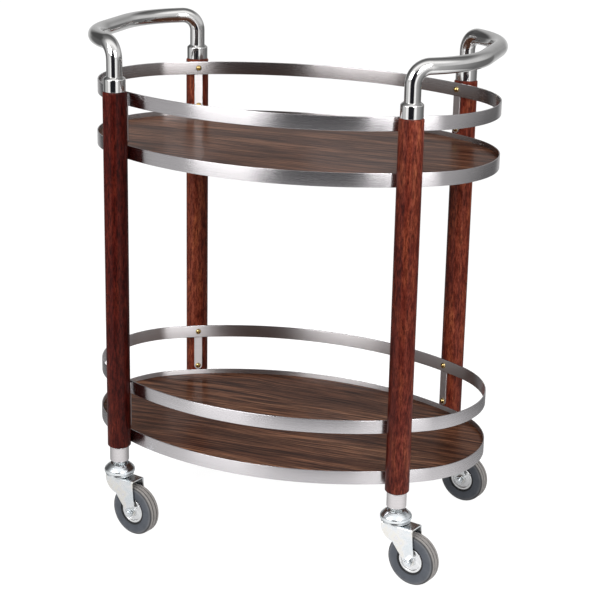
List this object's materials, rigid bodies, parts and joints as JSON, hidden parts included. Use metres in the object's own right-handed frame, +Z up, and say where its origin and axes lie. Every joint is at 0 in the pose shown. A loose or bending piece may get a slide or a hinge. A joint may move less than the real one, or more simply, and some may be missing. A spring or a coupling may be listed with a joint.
{
  "type": "two-tier serving trolley",
  "caption": "Oval two-tier serving trolley: banded wooden trays with steel guard rails on round wooden posts, tubular end handles and swivel casters.",
  "frame": {"origin": "on the floor under the middle of the trays", "axes": "+X along the trays' length, +Y across them, +Z up"},
  "size_m": [0.6638, 0.4118, 0.8235],
  "materials": {
    "post_wood": "gloss lacquer",
    "tray_wood": "satin laminate",
    "tray_steel": "brushed",
    "brass": "polished",
    "chrome": "polished",
    "nickel": "satin nickel",
    "zinc": "bright zinc",
    "bearing_steel": "ground",
    "hub_metal": "cast, satin",
    "tyre_rubber": "worn matt"
  },
  "bodies": {
    "frame": {"lower_board": "tray_wood", "lower_band": "tray_steel", "lower_rail": "tray_steel", "lower_rail_straps": "tray_steel", "lower_rail_screws": "brass", "upper_board": "tray_wood", "upper_band": "tray_steel", "upper_rail": "tray_steel", "upper_rail_straps": "tray_steel", "upper_rail_screws": "brass", "board_tabs": "tray_steel", "tab_screws": "zinc", "tray_screws": "zinc", "handle_left": "chrome", "handle_right": "chrome", "post_front_left": "post_wood", "handle_ferrule_front_left": "chrome", "caster_socket_front_left": "nickel", "caster_stem_front_left": "zinc", "swivel_cup_front_left": "zinc", "post_front_right": "post_wood", "handle_ferrule_front_right": "chrome", "caster_socket_front_right": "nickel", "caster_stem_front_right": "zinc", "swivel_cup_front_right": "zinc", "post_rear_left": "post_wood", "handle_ferrule_rear_left": "chrome", "caster_socket_rear_left": "nickel", "caster_stem_rear_left": "zinc", "swivel_cup_rear_left": "zinc", "post_rear_right": "post_wood", "handle_ferrule_rear_right": "chrome", "caster_socket_rear_right": "nickel", "caster_stem_rear_right": "zinc", "swivel_cup_rear_right": "zinc"},
    "swivel_front_left": {"fork_front_left": "zinc", "swivel_balls_front_left": "bearing_steel", "axle_bolt_front_left": "zinc", "axle_sleeve_front_left": "bearing_steel"},
    "wheel_front_left": {"hub_front_left": "hub_metal", "tyre_front_left": "tyre_rubber"},
    "swivel_front_right": {"fork_front_right": "zinc", "swivel_balls_front_right": "bearing_steel", "axle_bolt_front_right": "zinc", "axle_sleeve_front_right": "bearing_steel"},
    "wheel_front_right": {"hub_front_right": "hub_metal", "tyre_front_right": "tyre_rubber"},
    "swivel_rear_left": {"fork_rear_left": "zinc", "swivel_balls_rear_left": "bearing_steel", "axle_bolt_rear_left": "zinc", "axle_sleeve_rear_left": "bearing_steel"},
    "wheel_rear_left": {"hub_rear_left": "hub_metal", "tyre_rear_left": "tyre_rubber"},
    "swivel_rear_right": {"fork_rear_right": "zinc", "swivel_balls_rear_right": "bearing_steel", "axle_bolt_rear_right": "zinc", "axle_sleeve_rear_right": "bearing_steel"},
    "wheel_rear_right": {"hub_rear_right": "hub_metal", "tyre_rear_right": "tyre_rubber"}
  },
  "joints": [
    {"name": "swivel_front_left", "type": "hinge", "parent": "frame", "child": "swivel_front_left", "pos_m": [-0.23738, -0.16405, 0.1], "axis": [0, 0, 1], "continuous": true},
    {"name": "wheel_front_left", "type": "hinge", "parent": "swivel_front_left", "child": "wheel_front_left", "pos_m": [-0.20374, -0.1737, 0.0415], "axis": [0.2756, 0.9613, 0], "continuous": true},
    {"name": "swivel_front_right", "type": "hinge", "parent": "frame", "child": "swivel_front_right", "pos_m": [0.23738, -0.16405, 0.1], "axis": [0, 0, 1], "continuous": true},
    {"name": "wheel_front_right", "type": "hinge", "parent": "swivel_front_right", "child": "wheel_front_right", "pos_m": [0.27102, -0.1737, 0.0415], "axis": [0.2756, 0.9613, 0], "continuous": true},
    {"name": "swivel_rear_left", "type": "hinge", "parent": "frame", "child": "swivel_rear_left", "pos_m": [-0.23738, 0.16405, 0.1], "axis": [0, 0, 1], "continuous": true},
    {"name": "wheel_rear_left", "type": "hinge", "parent": "swivel_rear_left", "child": "wheel_rear_left", "pos_m": [-0.20374, 0.1544, 0.0415], "axis": [0.2756, 0.9613, 0], "continuous": true},
    {"name": "swivel_rear_right", "type": "hinge", "parent": "frame", "child": "swivel_rear_right", "pos_m": [0.23738, 0.16405, 0.1], "axis": [0, 0, 1], "continuous": true},
    {"name": "wheel_rear_right", "type": "hinge", "parent": "swivel_rear_right", "child": "wheel_rear_right", "pos_m": [0.27102, 0.1544, 0.0415], "axis": [0.2756, 0.9613, 0], "continuous": true}
  ]
}
